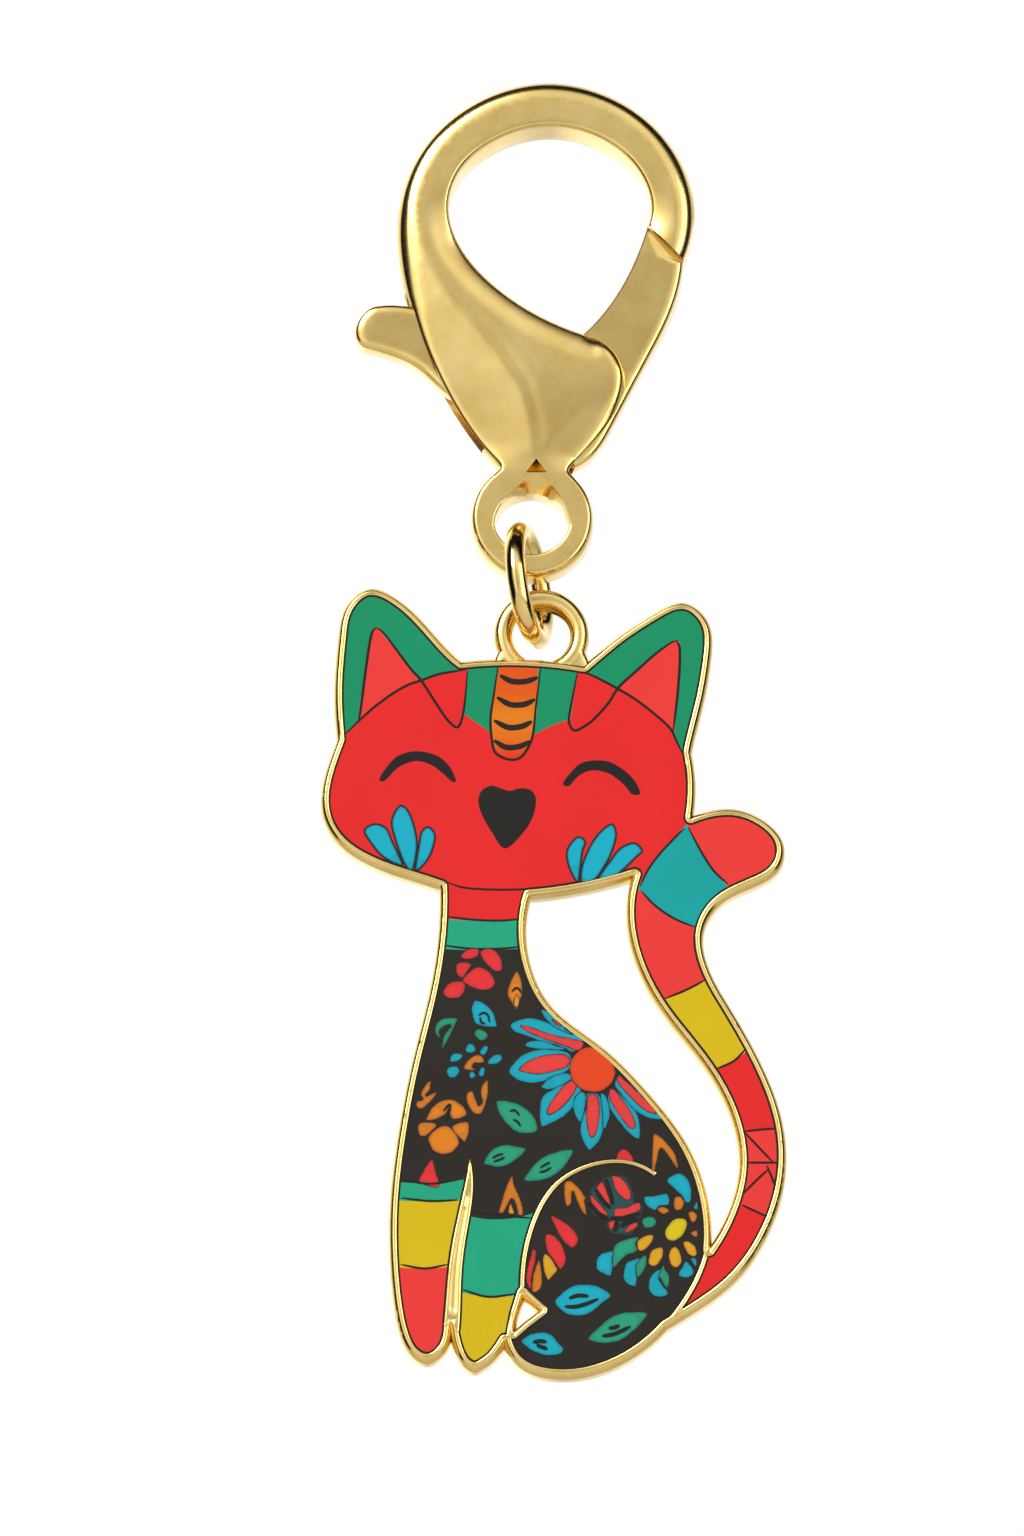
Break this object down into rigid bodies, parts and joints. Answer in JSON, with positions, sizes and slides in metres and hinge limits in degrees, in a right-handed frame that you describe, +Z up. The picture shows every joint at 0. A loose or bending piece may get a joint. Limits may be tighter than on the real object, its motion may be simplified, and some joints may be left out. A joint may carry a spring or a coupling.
{
  "type": "enamel charm",
  "caption": "Cat-shaped enamelled metal charm with a bail, hung by a jump ring from a lobster clasp with a sprung gate.",
  "frame": {"origin": "top of the clasp opening, on the hook surface that a ring or strap bears on", "axes": "+Z up along the hanging charm, +X to the right seen from the front, -Y towards the front (enamel side)"},
  "size_m": [0.0345, 0.0094, 0.1007],
  "materials": {
    "gold_plate": "gold plated zinc casting, satin polish",
    "gold_wire": "gold plated wire, bright",
    "pin_steel": "turned steel",
    "spring_steel": "drawn spring wire",
    "enamel_red": "soft enamel, smooth gloss",
    "enamel_coral": "soft enamel, smooth gloss",
    "enamel_green": "soft enamel, smooth gloss",
    "enamel_teal": "soft enamel, smooth gloss",
    "enamel_sea_blue": "soft enamel, smooth gloss",
    "enamel_yellow": "soft enamel, smooth gloss",
    "enamel_orange": "soft enamel, smooth gloss",
    "enamel_black": "soft enamel, smooth gloss"
  },
  "bodies": {
    "clasp": {"clasp_body": "gold_plate", "gate_pivot_pin": "pin_steel", "gate_spring": "spring_steel"},
    "clasp_gate": {"gate": "gold_plate"},
    "ring": {"jump_ring": "gold_wire"},
    "charm": {"charm_plate": "gold_plate", "enamel_face": "enamel_red", "enamel_neck": "enamel_red", "enamel_tail_red_upper": "enamel_red", "enamel_tail_red_lower": "enamel_red", "enamel_ear_inner_left": "enamel_coral", "enamel_ear_inner_right": "enamel_coral", "enamel_foot_left_coral": "enamel_coral", "enamel_tail_tip": "enamel_coral", "enamel_tail_coral": "enamel_coral", "enamel_tail_coral_zigzag": "enamel_coral", "enamel_ear_left": "enamel_green", "enamel_ear_right": "enamel_green", "enamel_forehead_left": "enamel_green", "enamel_forehead_right": "enamel_green", "enamel_collar": "enamel_teal", "enamel_leg_left_teal": "enamel_teal", "enamel_leg_right_teal": "enamel_teal", "enamel_tail_teal": "enamel_sea_blue", "enamel_leg_left_yellow": "enamel_yellow", "enamel_foot_right_yellow": "enamel_yellow", "enamel_tail_yellow": "enamel_yellow", "enamel_forehead_stripe": "enamel_orange", "enamel_body_black": "enamel_black"}
  },
  "joints": [
    {"name": "gate_pivot", "type": "hinge", "parent": "clasp", "child": "clasp_gate", "pos_m": [-0.0001, 0, -0.0209], "axis": [0, -1, 0], "range_deg": [0, 22], "stiffness_Nm_per_rad": 0.05, "springref_deg": -22.92, "deforming": ["gate_spring"]},
    {"name": "ring_swing", "type": "hinge", "parent": "clasp", "child": "ring", "pos_m": [-0.0008, 0, -0.03433], "axis": [0.965, -0.2406, 0.1045], "range_deg": [-35, 35]},
    {"name": "charm_sway", "type": "hinge", "parent": "ring", "child": "charm", "pos_m": [0.0001, 0, -0.03968], "axis": [0, 1, 0], "range_deg": [-30, 30]}
  ]
}
